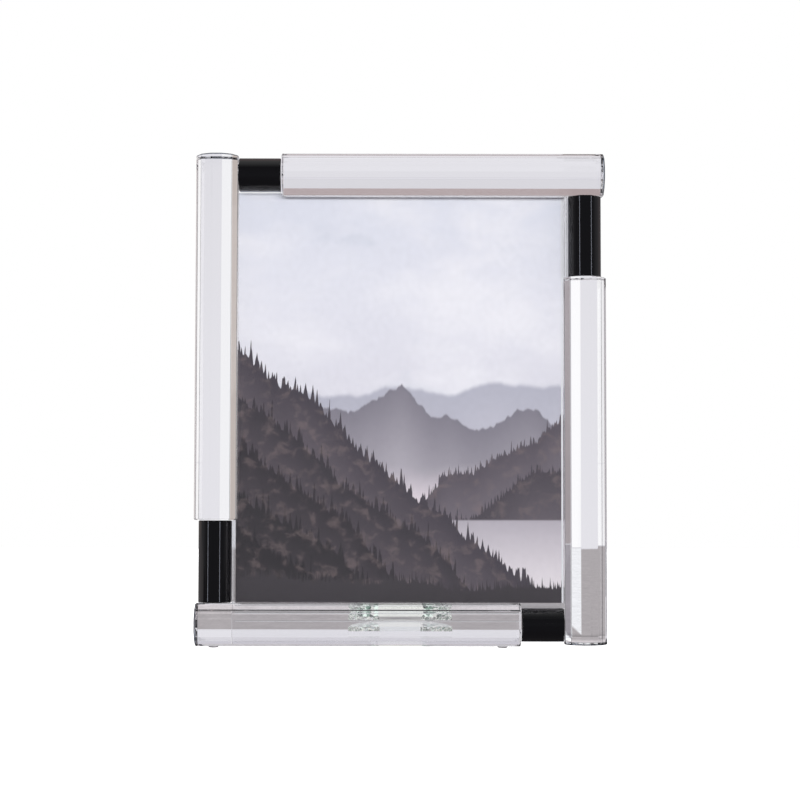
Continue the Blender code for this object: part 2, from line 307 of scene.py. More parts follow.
def polished_black_glass(name, along):
    """Opaque black glass: a dark mirror with slightly crowned flats."""
    look, tree, shader = new_material("polished_black_glass_" + name)
    shader.inputs["Base Color"].default_value = colour("0b0b0e")
    shader.inputs["IOR"].default_value = GLASS_IOR
    place = add_node(tree, "ShaderNodeTexCoord")
    streaks = add_node(tree, "ShaderNodeTexNoise", inputs={
        "Vector": place.outputs["Object"], "Scale": 1 / STREAK_WIDTH, "Detail": 3.0})
    rough = add_node(tree, "ShaderNodeMapRange", inputs={
        "Value": streaks.outputs["Fac"], "From Min": 0.3, "From Max": 0.7,
        "To Min": WIPED_ROUGHNESS[0], "To Max": WIPED_ROUGHNESS[1]})
    tree.links.new(rough.outputs["Result"], shader.inputs["Roughness"])
    from_middle = add_node(tree, "ShaderNodeVectorMath", {"operation": "SUBTRACT"}, {
        0: place.outputs["Object"], 1: middle_of(name)})
    beside_line = add_node(tree, "ShaderNodeVectorMath", {"operation": "CROSS_PRODUCT"}, {
        0: from_middle.outputs[0], 1: along})
    square = add_node(tree, "ShaderNodeVectorMath", {"operation": "DOT_PRODUCT"}, {
        0: beside_line.outputs[0], 1: beside_line.outputs[0]})
    crown = add_node(tree, "ShaderNodeMath", {"operation": "MULTIPLY"}, {
        0: square.outputs["Value"], 1: -CROWN_SHARE / (2 * BLOCK_RADIUS)})
    bump = add_node(tree, "ShaderNodeBump", inputs={
        "Strength": 1.0, "Distance": 1.0, "Height": crown.outputs[0]})
    tree.links.new(bump.outputs["Normal"], shader.inputs["Normal"])
    return look


upright_blocks = {"left_block": UP_THE_FRAME, "right_block": UP_THE_FRAME}
level_blocks = {"top_block": TO_THE_RIGHT, "bottom_block": TO_THE_RIGHT}
for name, along in {**upright_blocks, **level_blocks}.items():
    dress(polished_black_glass(name, along), name)

# %% [markdown]
# Along the long edges of the upright blocks run narrow strips, made dull and painted light grey. The
# grey is a painted highlight: the thin light line that each edge catches on black glass. The strips are
# the narrow faces that run along the block, so their width and direction pick them out: a strip's
# width is twice the area of each of its triangles over their longest side. The level blocks' edges
# are polished, and don't show.
# %% Painted highlights on the edges
WIDEST_STRIP = 0.45 * MM
MOST_TURNED = 0.1


def edge_highlight_strip():
    """A strip of black glass, dull and painted grey: a painted highlight along the edge."""
    look, _, shader = new_material("black_glass_edge_painted_highlight")
    # Painted highlight: the light grey of the line along each edge.
    shader.inputs["Base Color"].default_value = colour("73757e")
    shader.inputs["Roughness"].default_value = 0.4
    shader.inputs["IOR"].default_value = GLASS_IOR
    return look


def paint_edge_highlights(name, along, look):
    """Give the narrow faces that run along a block the painted highlight, and count them."""
    mesh = nodes[name].data
    mesh.materials.append(look)
    highlighted = 0
    for face in mesh.polygons:
        corners = [mesh.vertices[corner].co for corner in face.vertices]
        longest = max((a - b).length for a, b in zip(corners, corners[1:] + corners[:1]))
        if 2 * face.area / longest < WIDEST_STRIP and abs(face.normal @ along) < MOST_TURNED:
            face.material_index = 1
            highlighted += 1
    return highlighted


edge_highlight_look = edge_highlight_strip()
print("stoned strips:", [paint_edge_highlights(name, along, edge_highlight_look) for name, along in upright_blocks.items()])

# %% [markdown]
# ## Clear acrylic strips
# The ledge and the two side strips that hold the pocket open are cut from acrylic sheet. Acrylic
# bends light a little less than glass, and a saw leaves fine lines across its edges, which flaming
# only half melts away, so the strips are slightly cloudy. Real saw lines are finer than a pixel, so
# they are drawn 0.8 mm apart.
# %% Flame-polished acrylic
ACRYLIC_IOR = 1.49
SAW_PITCH = 0.8 * MM
SAW_DEPTH = 0.02 * MM


def flame_polished_acrylic():
    """Sawn and flamed acrylic: clear, with soft lines across that scatter a little light."""
    look, tree, shader = new_material("flame_polished_acrylic")
    shader.inputs["Base Color"].default_value = colour("fafcfc")
    shader.inputs["Roughness"].default_value = 0.02
    shader.inputs["IOR"].default_value = ACRYLIC_IOR
    shader.inputs["Transmission Weight"].default_value = 1.0
    place = add_node(tree, "ShaderNodeTexCoord")
    lines = add_node(tree, "ShaderNodeTexNoise", inputs={
        "Vector": place.outputs["Object"], "Scale": 1 / SAW_PITCH, "Detail": 2.0})
    bump = add_node(tree, "ShaderNodeBump", inputs={
        "Strength": 0.3, "Distance": SAW_DEPTH, "Height": lines.outputs["Fac"]})
    tree.links.new(bump.outputs["Normal"], shader.inputs["Normal"])
    return look


dress(flame_polished_acrylic(), "ledge", "left_spacer", "right_spacer")

# %% [markdown]
# ## The print
# The frame holds a semi-gloss photographic print. Its picture is a landscape made up for this
# lesson: a pale cloudy sky over a misty valley with a lake, between two wooded slopes. It could be
# painted as an image, but nodes keep it sharp at any size. The picture is drawn in two numbers,
# across and up, which both run from 0 to 1 over the sheet. Hills are laid one over another like cut
# paper, from far to near.
# %% Across and up on the sheet
sheet_corners = [vertex.co for vertex in nodes["print"].data.vertices]
sheet_low = min(corner @ UP_THE_FRAME for corner in sheet_corners)
sheet_high = max(corner @ UP_THE_FRAME for corner in sheet_corners)
sheet_half_width = max(corner.x for corner in sheet_corners)
print("sheet height, mm:", round((sheet_high - sheet_low) / MM, 1))


def sheet_position(tree):
    """Sockets that run from 0 to 1 across the sheet and up it."""
    place = add_node(tree, "ShaderNodeTexCoord")
    apart = add_node(tree, "ShaderNodeSeparateXYZ", inputs={"Vector": place.outputs["Object"]})
    across = add_node(tree, "ShaderNodeMapRange", inputs={
        "Value": apart.outputs["X"], "From Min": -sheet_half_width, "From Max": sheet_half_width})
    rise = add_node(tree, "ShaderNodeVectorMath", {"operation": "DOT_PRODUCT"}, {
        0: place.outputs["Object"], 1: UP_THE_FRAME})
    up = add_node(tree, "ShaderNodeMapRange", inputs={
        "Value": rise.outputs["Value"], "From Min": sheet_low, "From Max": sheet_high})
    return across.outputs["Result"], up.outputs["Result"]


# %% [markdown]
# A hill is everything below a ridge line. The ridge is four numbers: its level, its slope across the
# sheet, how far a slow one-dimensional noise makes it wander, and how far a quick one roughens it
# with rocks and bushes. Conifers stand on it as narrow tents: each cell of one-dimensional Voronoi
# noise grows one, as tall as a random share of the tallest. Where the ridge is above the picture's
# height, the hill covers what is behind. Its tone goes by the depth below the ridge without rocks
# and trees, because a wood is no darker under its tallest tops.
# %% A hill
WANDER_SCALE = 3.0
ROCK_SCALE = 46.0
TENT_SLOPE = 2.4
FULL_TONE_DEPTH = 0.20


def lay_hill(tree, position, behind, ridge, haze, tones, seed, conifers=()):
    """Cover the picture below a ridge with a hill that goes from one tone at its top to another."""
    across, up = position
    level, slope, wander, rocks = ridge
    along = add_node(tree, "ShaderNodeMath", {"operation": "ADD"}, {0: across, 1: seed})
    line = add_node(tree, "ShaderNodeMath", {"operation": "MULTIPLY_ADD"}, {0: across, 1: slope, 2: level})
    for strength, scale, detail in ((wander, WANDER_SCALE, 2.0), (rocks, ROCK_SCALE, 6.0)):
        noise = add_node(tree, "ShaderNodeTexNoise", {"noise_dimensions": "1D"}, {
            "W": along.outputs[0], "Scale": scale, "Detail": detail})
        swing = add_node(tree, "ShaderNodeMath", {"operation": "SUBTRACT"}, {0: noise.outputs["Fac"], 1: 0.5})
        bare = line
        line = add_node(tree, "ShaderNodeMath", {"operation": "MULTIPLY_ADD"}, {
            0: swing.outputs[0], 1: 2 * strength, 2: line.outputs[0]})
    for height, pitch in conifers:
        cells = add_node(tree, "ShaderNodeTexVoronoi", {"voronoi_dimensions": "1D"}, {
            "W": along.outputs[0], "Scale": 1 / pitch})
        tent = add_node(tree, "ShaderNodeMapRange", inputs={
            "Value": cells.outputs["Distance"], "From Max": 1 / TENT_SLOPE, "To Min": 1.0, "To Max": 0.0})
        share = add_node(tree, "ShaderNodeSeparateColor", inputs={"Color": cells.outputs["Color"]})
        grown = add_node(tree, "ShaderNodeMath", {"operation": "MULTIPLY"}, {
            0: tent.outputs["Result"], 1: share.outputs["Red"]})
        line = add_node(tree, "ShaderNodeMath", {"operation": "MULTIPLY_ADD"}, {
            0: grown.outputs[0], 1: height, 2: line.outputs[0]})
    depth = add_node(tree, "ShaderNodeMath", {"operation": "SUBTRACT"}, {0: line.outputs[0], 1: up})
    cover = add_node(tree, "ShaderNodeMapRange", {"interpolation_type": "SMOOTHSTEP"}, {
        "Value": depth.outputs[0], "From Min": -haze, "From Max": haze})
    fall = add_node(tree, "ShaderNodeMath", {"operation": "SUBTRACT"}, {0: bare.outputs[0], 1: up})
    shade = add_node(tree, "ShaderNodeMapRange", inputs={
        "Value": fall.outputs[0], "From Max": FULL_TONE_DEPTH})
    tone = add_node(tree, "ShaderNodeMix", {"data_type": "RGBA"}, {
        "Factor": shade.outputs["Result"], 6: colour(tones[0]), 7: colour(tones[1])})
    laid = add_node(tree, "ShaderNodeMix", {"data_type": "RGBA"}, {
        "Factor": cover.outputs["Result"], 6: behind, 7: tone.outputs[2]})
    return laid.outputs[2]


# %% [markdown]
# A wood is drawn as rows of trees, one below another. Each row is a hill of its own that goes from
# dark at its tops to paler at its foot, where mist hangs, so the next row stands out against it.
# %% A wood
WOOD_WANDER = 0.07
WOOD_HAZE = 0.002
SEED_STEP = 2.3


def lay_wood(tree, position, picture, rows, rocks, conifers, seed):
    """Lay the rows of a wood from the highest down, each with a level, a slope and two tones."""
    for level, slope, top, foot in rows:
        ridge = (level, slope, WOOD_WANDER, rocks)
        picture = lay_hill(tree, position, picture, ridge, WOOD_HAZE, (top, foot), seed, conifers)
        seed += SEED_STEP
    return picture


# %% [markdown]
# Cloud and leaves are stretched noise: tones that are mixed in where the noise is high. Cloud banks
# are wider than they are tall, and wooded slopes are mottled with softer, warmer patches.
# %% A mottle
def mottle(tree, sheet, behind, stretch, limits, tone, strength):
    """Mix a tone into the picture where stretched noise rises from the lower limit to the upper."""
    place = add_node(tree, "ShaderNodeMapping", inputs={"Vector": sheet, "Scale": stretch})
    noise = add_node(tree, "ShaderNodeTexNoise", inputs={
        "Vector": place.outputs[0], "Scale": 1.0, "Detail": 6.0, "Roughness": 0.55, "Distortion": 0.3})
    amount = add_node(tree, "ShaderNodeMapRange", {"interpolation_type": "SMOOTHSTEP"}, {
        "Value": noise.outputs["Fac"], "From Min": limits[0], "From Max": limits[1], "To Max": strength})
    mixed = add_node(tree, "ShaderNodeMix", {"data_type": "RGBA"}, {
        "Factor": amount.outputs["Result"], 6: behind, 7: colour(tone)})
    return mixed.outputs[2]


# %% [markdown]
# The sky is a pale lavender with brighter banks and a few grey wisps. Under it come a far range, a
# nearer mountain and the mist. Then the slope on the right runs down to a still lake, and the wooded
# slope on the left stands in front of both. The warm patches are kept to what is dark, which is the
# woods. Reeds on the near shore close the picture. Each conifer size is a height and a pitch.
# %% Sky, valley and lake
SKY_TONES = ((0.45, "e2e1e9"), (0.75, "e7e8f0"), (1.0, "e1e4ee"))
CLOUD_BANKS = dict(stretch=(2.0, 4.4, 1.0), limits=(0.42, 0.68), tone="f2f2f7", strength=0.9)
WISPS = dict(stretch=(2.6, 6.4, 9.0), limits=(0.56, 0.78), tone="c3cad6", strength=0.6)
WARM_PATCHES = dict(stretch=(24.0, 34.0, 4.0), limits=(0.48, 0.70), tone="8a7a79", strength=0.35)
WOOD_DARKNESS = (0.16, 0.24)
FAR_RANGE = dict(ridge=(0.50, 0.03, 0.07, 0.004), haze=0.008, tones=("b9bac7", "cfced8"), seed=3.1)
MOUNTAIN = dict(ridge=(0.49, -0.06, 0.12, 0.012), haze=0.004, tones=("85828d", "b3afb8"), seed=7.7)
MIST = dict(ridge=(0.30, 0.0, 0.03, 0.002), haze=0.045, tones=("dcd3da", "ebe1e6"), seed=1.3)
RIGHT_WOOD = dict(
    rows=((0.03, 0.40, "5a545d", "857e87"), (-0.07, 0.40, "4c474f", "726b73")),
    rocks=0.008, conifers=((0.024, 0.010), (0.014, 0.006)), seed=5.4)
LAKE = dict(ridge=(0.20, 0.0, 0.0, 0.0), haze=0.003, tones=("b7b2bb", "f4eef2"), seed=0.0)
LEFT_WOOD = dict(
    rows=((0.62, -0.66, "443f48", "6c646c"), (0.50, -0.66, "39353c", "615961"),
          (0.385, -0.64, "322e34", "544d54"), (0.27, -0.60, "2c292e", "474147"),
          (0.165, -0.44, "272429", "3d383d")),
    rocks=0.010, conifers=((0.045, 0.017), (0.025, 0.009)), seed=10.0)
NEAR_SHORE = dict(ridge=(0.055, -0.02, 0.03, 0.012), haze=0.002, tones=("3c383d", "2c292d"), seed=21.4,
                  conifers=((0.030, 0.006),))


def print_picture(tree):
    """A pale sky over a misty valley and a lake, between two wooded slopes."""
    position = sheet_position(tree)
    across, up = position
    sheet = add_node(tree, "ShaderNodeCombineXYZ", inputs={"X": across, "Y": up}).outputs[0]
    picture = tones_along(tree, up, SKY_TONES)
    for clouds in (CLOUD_BANKS, WISPS):
        picture = mottle(tree, sheet, picture, **clouds)
    for hill in (FAR_RANGE, MOUNTAIN, MIST):
        picture = lay_hill(tree, position, picture, **hill)
    picture = lay_wood(tree, position, picture, **RIGHT_WOOD)
    picture = lay_hill(tree, position, picture, **LAKE)
    picture = lay_wood(tree, position, picture, **LEFT_WOOD)
    patched = mottle(tree, sheet, picture, **WARM_PATCHES)
    brightness = add_node(tree, "ShaderNodeRGBToBW", inputs={"Color": picture})
    dark = add_node(tree, "ShaderNodeMapRange", inputs={
        "Value": brightness.outputs[0], "From Min": WOOD_DARKNESS[0], "From Max": WOOD_DARKNESS[1],
        "To Min": 1.0, "To Max": 0.0})
    wooded = add_node(tree, "ShaderNodeMix", {"data_type": "RGBA"}, {
        "Factor": dark.outputs["Result"], 6: picture, 7: patched})
    return lay_hill(tree, position, wooded.outputs[2], **NEAR_SHORE), sheet


# %% [markdown]
# The sheet was cut with a narrow unprinted margin down its right edge, where bare paper shows. The
# paper's grain is finer than a pixel, so it is drawn as 60 grains across the sheet, 3.4 mm each.
# %% The finished sheet
MARGIN = 2.0 * MM
BARE_PAPER = "e4e6ea"
GRAINS_ACROSS = 60.0
GRAIN_SWING = 0.03


def semi_gloss_print():
    """Resin-coated photographic paper: the picture under a soft gloss with a fine grain."""
    look, tree, shader = new_material("semi_gloss_photo_paper")
    picture, sheet = print_picture(tree)
    grain = add_node(tree, "ShaderNodeTexNoise", inputs={
        "Vector": sheet, "Scale": GRAINS_ACROSS, "Detail": 4.0})
    level = add_node(tree, "ShaderNodeMapRange", inputs={
        "Value": grain.outputs["Fac"], "From Min": 0.25, "From Max": 0.75,
        "To Min": 1 - GRAIN_SWING, "To Max": 1 + GRAIN_SWING})
    toned = add_node(tree, "ShaderNodeVectorMath", {"operation": "SCALE"}, {
        0: picture, "Scale": level.outputs["Result"]})
    across = add_node(tree, "ShaderNodeSeparateXYZ", inputs={"Vector": sheet})
    bare = add_node(tree, "ShaderNodeMath", {"operation": "GREATER_THAN"}, {
        0: across.outputs["X"], 1: 1 - MARGIN / (2 * sheet_half_width)})
    trimmed = add_node(tree, "ShaderNodeMix", {"data_type": "RGBA"}, {
        "Factor": bare.outputs[0], 6: toned.outputs[0], 7: colour(BARE_PAPER)})
    tree.links.new(trimmed.outputs[2], shader.inputs["Base Color"])
    shader.inputs["Roughness"].default_value = 0.35
    return look


dress(semi_gloss_print(), "print")

# %% [markdown]
# ## Card and pads
# Behind the print stands a plain white card. Card is pressed from pulp, so a fine uneven tone and
# a slight bump keep it from looking like plastic. The pads are soft clear vinyl, slightly cloudy.
# %% Pressed card and soft vinyl
FIBRE_LENGTH = 0.7 * MM
FIBRE_HEIGHT = 0.05 * MM


def pressed_white_card():
    """Uncoated pulp card: matt, warm white, with a faint mottle of fibres."""
    look, tree, shader = new_material("pressed_white_card")
    place = add_node(tree, "ShaderNodeTexCoord")
    fibres = add_node(tree, "ShaderNodeTexNoise", inputs={
        "Vector": place.outputs["Object"], "Scale": 1 / FIBRE_LENGTH, "Detail": 5.0, "Roughness": 0.7})
    tone = add_node(tree, "ShaderNodeMix", {"data_type": "RGBA"}, {
        "Factor": fibres.outputs["Fac"], 6: colour("e2e0d8"), 7: colour("f3f2ec")})
    bump = add_node(tree, "ShaderNodeBump", inputs={
        "Strength": 0.4, "Distance": FIBRE_HEIGHT, "Height": fibres.outputs["Fac"]})
    tree.links.new(tone.outputs[2], shader.inputs["Base Color"])
    tree.links.new(bump.outputs["Normal"], shader.inputs["Normal"])
    shader.inputs["Roughness"].default_value = 0.85
    return look


def soft_clear_vinyl():
    """Moulded soft PVC: clear but hazy, with a dull skin."""
    look, _, shader = new_material("soft_clear_vinyl")
    shader.inputs["Base Color"].default_value = colour("fbfcfc")
    shader.inputs["Roughness"].default_value = 0.25
    shader.inputs["IOR"].default_value = 1.53
    shader.inputs["Transmission Weight"].default_value = 1.0
    return look


dress(pressed_white_card(), "backing_card")
dress(soft_clear_vinyl(), "left_pad", "right_pad")

# %% [markdown]
# ## Table and wall
# The picture was taken on a grey table in front of a pale wall and then cut out on white, and its
# glass still shows both. So the stage has a table, a wall and a card that glass and reflections see.
# Rays straight from the camera meet a white table, which keeps the frame's shadow, and neither wall
# nor card. Each of the three is one flat sheet between a near edge and a far one.
# %% A sheet on the stage
STAGE_HALF_WIDTH = 2.0


def add_stage_sheet(name, left, right, near, far, look):
    """A flat sheet whose near and far edges are each given as how far back and how high they are."""
    mesh = bpy.data.meshes.new(name)
    mesh.from_pydata([(left, *near), (right, *near), (right, *far), (left, *far)], [], [(0, 1, 2, 3)])
    mesh.materials.append(look)
    made = bpy.data.objects.new(name, mesh)
    bpy.context.scene.collection.objects.link(made)
    print(name, "from", near, "to", far)
    return made


# %% [markdown]
# The table is grey laminate. In front of the frame it is paler where it is seen through the glass, so
# that the bars stay clear from behind, and darker in reflections, so that the blocks stay black.
# White paper lies on it behind the right upright, in a wedge that starts there, and past the paper
# the table is darker. So the colour goes by how far a place is beside the upright for each step
# back. Right behind the frame the glass throws lines of light on the table: a broad bright one, then
# a narrow bright one and a dark one. They are shares of the brightest.
# %% Table colours
UPRIGHT_PLACE = 0.125
SHORTEST_STEP = 0.02
FRONT_TABLE_IN_REFLECTIONS = "504d4f"
FRONT_TABLE_THROUGH_GLASS = "d0ced2"
TABLE_TONES = ((0.0, "aba6a8"), (0.22, "aba6a8"), (0.25, "eff0f3"), (0.72, "eff0f3"), (0.80, "98939a"),
               (2.00, "a39ea2"))
THROWN_LIGHT = ((0.0, "cdcdcd"), (0.002, "ffffff"), (0.012, "ffffff"), (0.022, "cdcdcd"),
                (0.0275, "cdcdcd"), (0.0282, "ececec"), (0.0298, "ececec"), (0.0308, "b4b4b4"),
                (0.036, "b4b4b4"), (0.045, "cdcdcd"), (0.2, "cdcdcd"))


def table_paint(tree, ray, sideways, back):
    """The laminate and the paper on it, under the lines of light that the glass throws."""
    beside = add_node(tree, "ShaderNodeMath", {"operation": "SUBTRACT"}, {0: sideways, 1: UPRIGHT_PLACE})
    steps = add_node(tree, "ShaderNodeMath", {"operation": "MAXIMUM"}, {0: back, 1: SHORTEST_STEP})
    wedge = add_node(tree, "ShaderNodeMath", {"operation": "DIVIDE"}, {
        0: beside.outputs[0], 1: steps.outputs[0]})
    in_front = add_node(tree, "ShaderNodeMix", {"data_type": "RGBA"}, {
        "Factor": ray.outputs["Is Transmission Ray"], 6: colour(FRONT_TABLE_IN_REFLECTIONS),
        7: colour(FRONT_TABLE_THROUGH_GLASS)})
    behind = add_node(tree, "ShaderNodeMath", {"operation": "GREATER_THAN"}, {0: back, 1: 0.0})
    bare = add_node(tree, "ShaderNodeMix", {"data_type": "RGBA"}, {
        "Factor": behind.outputs[0], 6: in_front.outputs[2],
        7: tones_along(tree, wedge.outputs[0], TABLE_TONES)})
    paint = add_node(tree, "ShaderNodeMix", {"data_type": "RGBA", "blend_type": "MULTIPLY"}, {
        "Factor": 1.0, 6: bare.outputs[2], 7: tones_along(tree, back, THROWN_LIGHT)})
    return paint.outputs[2]


# %% [markdown]
# Under the foot the table is bright, and toward both ends the chipped glass breaks the light up into
# sparks. They are Voronoi cells, longer from front to back, and each has a tone of its own. They
# fill a disc as wide as the foot, which fades out at its rim.
# %% Sparks under the foot
SPARK_WIDTH = 2.6 * MM
SPARK_STRETCH = (1.0, 0.4, 1.0)
SPARK_TONES = ((0.0, "bbbcb7"), (0.25, "bbbcb7"), (0.35, "c9d6cd"), (0.50, "c9d6cd"), (0.52, "6e8478"),
               (0.72, "33443b"), (1.0, "0e1613"))
RIM_OUTSIDE = 1 * MM
RIM_INSIDE = 2 * MM
foot_low, foot_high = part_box("foot")
foot_front, foot_radius = foot_low[1], foot_high[0]
print("foot radius, mm:", round(foot_radius / MM, 1))


def sparks_under_foot(tree, place, sideways, paint):
    """The table's paint with light and dark sparks laid over it under the foot."""
    from_foot = add_node(tree, "ShaderNodeVectorMath", {"operation": "DISTANCE"}, {
        0: place, 1: (0.0, foot_front, 0.0)})
    under_foot = add_node(tree, "ShaderNodeMapRange", {"interpolation_type": "SMOOTHSTEP"}, {
        "Value": from_foot.outputs["Value"], "From Min": foot_radius + RIM_OUTSIDE,
        "From Max": foot_radius - RIM_INSIDE})
    drawn_out = add_node(tree, "ShaderNodeVectorMath", {"operation": "MULTIPLY"}, {
        0: place, 1: SPARK_STRETCH})
    sparks = add_node(tree, "ShaderNodeTexVoronoi", inputs={
        "Vector": drawn_out.outputs[0], "Scale": 1 / SPARK_WIDTH})
    share = add_node(tree, "ShaderNodeSeparateColor", inputs={"Color": sparks.outputs["Color"]})
    off_middle = add_node(tree, "ShaderNodeMath", {"operation": "ABSOLUTE"}, {0: sideways})
    at_ends = add_node(tree, "ShaderNodeMath", {"operation": "GREATER_THAN"}, {
        0: off_middle.outputs[0], 1: CLEAR_MIDDLE})
    flash = add_node(tree, "ShaderNodeMath", {"operation": "MULTIPLY"}, {
        0: share.outputs["Red"], 1: at_ends.outputs[0]})
    lit = add_node(tree, "ShaderNodeMix", {"data_type": "RGBA"}, {
        "Factor": under_foot.outputs["Result"], 6: paint,
        7: tones_along(tree, flash.outputs[0], SPARK_TONES)})
    return lit.outputs[2]


# %% [markdown]
# To every ray but the camera's own the table is a plain light in its own colours, so that the grey
# in the bars doesn't depend on the lamps. The brightest line of thrown light sets how strong it is,
# and a grain and a mottle, each with a size and a swing, vary that. The camera sees white paper
# instead, which glows a little and keeps the frame's soft shadow.
# %% The table
TABLE_NEAR_EDGE = (-2.0, 0)
TABLE_FAR_EDGE = (0.65, 0)
BRIGHTEST_LINE = 1.76
GRAIN_AND_MOTTLE = ((2.5 * MM, 0.16), (14 * MM, 0.11))
PAPER_GLOW = 0.7


def table_top():
    """Grey laminate in the glass, white to the camera, with the frame's soft shadow kept."""
    look, tree, shader = new_material("grey_laminate")
    tree.nodes.remove(shader)
    place = add_node(tree, "ShaderNodeTexCoord").outputs["Object"]
    apart = add_node(tree, "ShaderNodeSeparateXYZ", inputs={"Vector": place})
    ray = add_node(tree, "ShaderNodeLightPath")
    paint = table_paint(tree, ray, apart.outputs["X"], apart.outputs["Y"])
    level = BRIGHTEST_LINE
    for size, swing in GRAIN_AND_MOTTLE:
        speckle = add_node(tree, "ShaderNodeTexNoise", inputs={
            "Vector": place, "Scale": 1 / size, "Detail": 4.0})
        change = add_node(tree, "ShaderNodeMapRange", inputs={
            "Value": speckle.outputs["Fac"], "From Min": 0.3, "From Max": 0.7,
            "To Min": -swing, "To Max": swing})
        level = add_node(tree, "ShaderNodeMath", {"operation": "ADD"}, {
            0: change.outputs["Result"], 1: level}).outputs[0]
    laminate = add_node(tree, "ShaderNodeEmission", inputs={
        "Color": sparks_under_foot(tree, place, apart.outputs["X"], paint), "Strength": level})
    white = add_node(tree, "ShaderNodeBsdfDiffuse", inputs={"Color": colour("ffffff")})
    glow = add_node(tree, "ShaderNodeEmission", inputs={"Color": colour("ffffff"), "Strength": PAPER_GLOW})
    paper = add_node(tree, "ShaderNodeAddShader", inputs={0: white.outputs[0], 1: glow.outputs[0]})
    seen = add_node(tree, "ShaderNodeMixShader", inputs={
        0: ray.outputs["Is Camera Ray"], 1: laminate.outputs[0], 2: paper.outputs[0]})
    tree.links.new(seen.outputs[0], tree.nodes["Material Output"].inputs["Surface"])
    return look


add_stage_sheet("table", -STAGE_HALF_WIDTH, STAGE_HALF_WIDTH, TABLE_NEAR_EDGE, TABLE_FAR_EDGE, table_top())

# %% [markdown]
# The wall stands where the table ends. It is palest low down, has a broad rail that is a shade
# darker, and turns a warm grey high up. To the left and right stand white screens, each in two
# tones, and beyond them the dim room. A facet that bends the view a little outwards lands on a
# screen, so it is the whitest strip of a bar, and one that bends it further lands on the dim room,
# so it is brownish. The screens' colours go from left to right, counted from the wall's left edge.
# Each face of glass takes a little light, so the wall glows slightly more than its colours say.
# %% The wall
GLASS_LOSS = 1.08
WALL_FOOT = (0.66, 0)
WALL_TOP = (0.66, 1.5)
WALL_TONES = ((0.0, "e4e3e8"), (0.20, "e3e2e7"), (0.36, "dfdee3"), (0.43, "d2d0d8"), (0.50, "d2d0d8"),
              (0.54, "d9d8dd"), (0.68, "d6d4da"), (0.82, "b5a6a7"), (1.00, "aa9c9c"), (2.00, "aa9c9c"))
SCREEN_START = 0.29
SCREEN_EDGE = 0.02
SCREEN_TONES = ((0.80, "b8aeaa"), (1.31, "c3b9b3"), (1.36, "fdfdfe"), (1.621, "fdfdfe"), (1.623, "f2f2f4"),
                (1.80, "f2f2f4"), (2.20, "fdfdfe"), (2.379, "fdfdfe"), (2.381, "e9e8ed"), (2.64, "e9e8ed"),
                (2.69, "a0989b"), (3.20, "9a9295"), (4.00, "9a9295"))


def wall_and_screens():
    """Self-lit wall: its colour goes by height in the middle and by place to both sides."""
    look, tree, shader = new_material("painted_wall")
    tree.nodes.remove(shader)
    place = add_node(tree, "ShaderNodeTexCoord")
    apart = add_node(tree, "ShaderNodeSeparateXYZ", inputs={"Vector": place.outputs["Object"]})
    off_middle = add_node(tree, "ShaderNodeMath", {"operation": "ABSOLUTE"}, {0: apart.outputs["X"]})
    beside = add_node(tree, "ShaderNodeMapRange", {"interpolation_type": "SMOOTHSTEP"}, {
        "Value": off_middle.outputs[0], "From Min": SCREEN_START, "From Max": SCREEN_START + SCREEN_EDGE})
    from_edge = add_node(tree, "ShaderNodeMath", {"operation": "ADD"}, {
        0: apart.outputs["X"], 1: STAGE_HALF_WIDTH})
    tone = add_node(tree, "ShaderNodeMix", {"data_type": "RGBA"}, {
        "Factor": beside.outputs["Result"], 6: tones_along(tree, apart.outputs["Z"], WALL_TONES),
        7: tones_along(tree, from_edge.outputs[0], SCREEN_TONES)})
    light = add_node(tree, "ShaderNodeEmission", inputs={"Color": tone.outputs[2], "Strength": GLASS_LOSS})
    tree.links.new(light.outputs[0], tree.nodes["Material Output"].inputs["Surface"])
    return look


def show_in_glass_only(sheet):
    """Hide a stage sheet from the camera and from plain surfaces, and let it throw no shadow."""
    sheet.visible_camera = False
    sheet.visible_diffuse = False
    sheet.visible_shadow = False


wall_look = wall_and_screens()
show_in_glass_only(add_stage_sheet(
    "wall", -STAGE_HALF_WIDTH, STAGE_HALF_WIDTH, WALL_FOOT, WALL_TOP, wall_look))

# %% [markdown]
# The upper facets of the top bar bend the view steeply down behind the frame. A pale card is held
# there at a third of the frame's height, so that they are as pale as the others. It is almost
# level, tipped so that the camera sees it edge on and it is lost in the other facets.
# %% The card behind
CARD_LEFT, CARD_RIGHT = -0.105, 0.185
CARD_NEAR_EDGE = (0.215, 0.1029)
CARD_FAR_EDGE = (0.335, 0.0974)

show_in_glass_only(add_stage_sheet(
    "card", CARD_LEFT, CARD_RIGHT, CARD_NEAR_EDGE, CARD_FAR_EDGE, wall_look))

# %% [markdown]
# ## Light
# Glass is lit by its surroundings more than by lamps, so the rest of the room is light that depends
# on direction. A soft box is overhead, and the sides are pale. The room behind the camera is dim in
# reflections, which keeps black glass black, and paler to rays that have passed through the glass.
# Paper gathers an even light from all round, so the room needn't be sampled as a lamp is. Seen
# straight from the camera the room is white.
# %% The room
ROOM_UPWARDS = ((0.0, "dcdbe0"), (0.55, "c9c4c8"), (0.80, "b4aaab"), (0.86, "ffffff"), (1.0, "ffffff"))
FRONT_IN_REFLECTIONS = 0.15
FRONT_THROUGH_GLASS = 0.48
SIDES_IN_REFLECTIONS = 0.40
SIDES_THROUGH_GLASS = 1.0
FRONT_TO_SIDES = (-0.35, 0.05)
EVEN_LIGHT = 0.38


